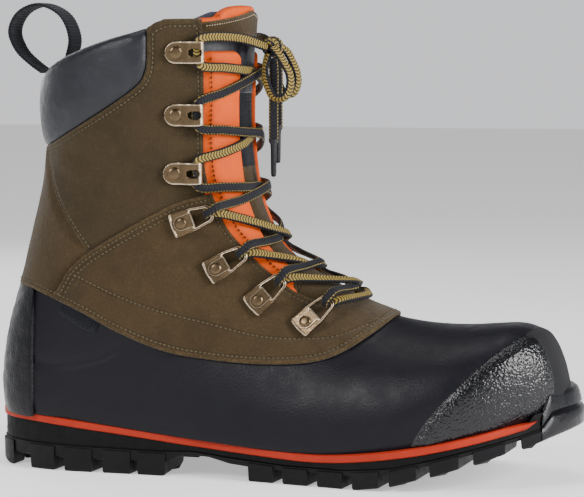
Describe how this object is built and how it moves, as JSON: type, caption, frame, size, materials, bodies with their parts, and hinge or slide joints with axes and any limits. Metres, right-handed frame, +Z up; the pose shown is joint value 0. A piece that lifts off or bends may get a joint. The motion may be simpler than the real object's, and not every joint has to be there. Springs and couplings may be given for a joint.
{
  "type": "insulated hunting boot",
  "caption": "High insulated lace-up boot: leather shaft on a moulded rubber lower, lugged sole, hooks and lace loops, swinging lace bow and pull loop.",
  "frame": {"origin": "on the floor under the middle of the boot's box", "axes": "+X to the toe, +Y to the inner (medial) side of this right boot, +Z up"},
  "size_m": [0.3241, 0.1164, 0.2534],
  "materials": {
    "nubuck": "dull olive-brown nubuck",
    "shell_rubber": "fine-grained satin",
    "gloss_rubber": "pebbled and glossy",
    "sole_rubber": "dull black",
    "midsole_rubber": "dull black",
    "welt_rubber": "orange-red satin",
    "pad_leather": "smooth black",
    "orange_leather": "matt orange",
    "webbing": "ribbed black webbing",
    "antique_brass": "aged and brushed",
    "lace_cord": "braided black and olive",
    "lace_tip": "smooth black",
    "lining": "dark brushed cloth",
    "insulation": "pale felt",
    "board": "fibre board",
    "shank_steel": "brushed",
    "stiffener": "dull moulded",
    "footbed": "grey felt"
  },
  "bodies": {
    "boot": {"vamp_and_lower_quarters": "nubuck", "rear_panel": "nubuck", "shaft_quarter_lateral": "nubuck", "shaft_quarter_medial": "nubuck", "collar_pad": "pad_leather", "rubber_shell": "shell_rubber", "toe_cap": "gloss_rubber", "heel_overlay": "shell_rubber", "shaft_insulation": "insulation", "toe_puff": "stiffener", "heel_counter": "stiffener", "insole_board": "board", "bootie_lining": "lining", "footbed": "footbed", "tongue": "insulation", "tongue_band_lateral": "orange_leather", "tongue_band_medial": "orange_leather", "tongue_face": "webbing", "tongue_base": "nubuck", "tongue_top_patch": "nubuck", "outsole": "sole_rubber", "shank": "shank_steel", "midsole": "midsole_rubber", "welt_line": "welt_rubber", "toe_bumper": "gloss_rubber", "speed_hook_lateral_1": "antique_brass", "speed_hook_lateral_2": "antique_brass", "speed_hook_lateral_3": "antique_brass", "lace_loop_lateral_1": "antique_brass", "lace_loop_lateral_2": "antique_brass", "lace_loop_lateral_3": "antique_brass", "lace_loop_lateral_4": "antique_brass", "speed_hook_medial_1": "antique_brass", "speed_hook_medial_2": "antique_brass", "speed_hook_medial_3": "antique_brass", "lace_loop_medial_1": "antique_brass", "lace_loop_medial_2": "antique_brass", "lace_loop_medial_3": "antique_brass", "lace_loop_medial_4": "antique_brass", "lace": "lace_cord", "lace_knot": "lace_cord", "side_label": "webbing"},
    "pull_loop": {"pull_loop": "webbing"},
    "bow_loop_lateral": {"bow_loop_lateral": "lace_cord"},
    "bow_loop_medial": {"bow_loop_medial": "lace_cord"},
    "lace_end_lateral": {"lace_end_lateral": "lace_cord", "aglet_lateral": "lace_tip"},
    "lace_end_medial": {"lace_end_medial": "lace_cord", "aglet_medial": "lace_tip"}
  },
  "joints": [
    {"name": "pull_loop_tilt", "type": "hinge", "parent": "boot", "child": "pull_loop", "pos_m": [-0.1315, 0, 0.219], "axis": [0, 1, 0], "range_deg": [-20, 20], "stiffness_Nm_per_rad": 0.02},
    {"name": "bow_loop_lateral_swing", "type": "hinge", "parent": "boot", "child": "bow_loop_lateral", "pos_m": [-0.0097, -0.009, 0.228], "axis": [0, -1, 0], "range_deg": [0, 25]},
    {"name": "bow_loop_medial_swing", "type": "hinge", "parent": "boot", "child": "bow_loop_medial", "pos_m": [-0.0097, 0.015, 0.228], "axis": [0, -1, 0], "range_deg": [0, 25]},
    {"name": "lace_end_lateral_swing", "type": "hinge", "parent": "boot", "child": "lace_end_lateral", "pos_m": [-0.012, -0.002, 0.228], "axis": [0, -1, 0], "range_deg": [0, 25]},
    {"name": "lace_end_medial_swing", "type": "hinge", "parent": "boot", "child": "lace_end_medial", "pos_m": [-0.012, 0.008, 0.228], "axis": [0, -1, 0], "range_deg": [0, 25]}
  ]
}
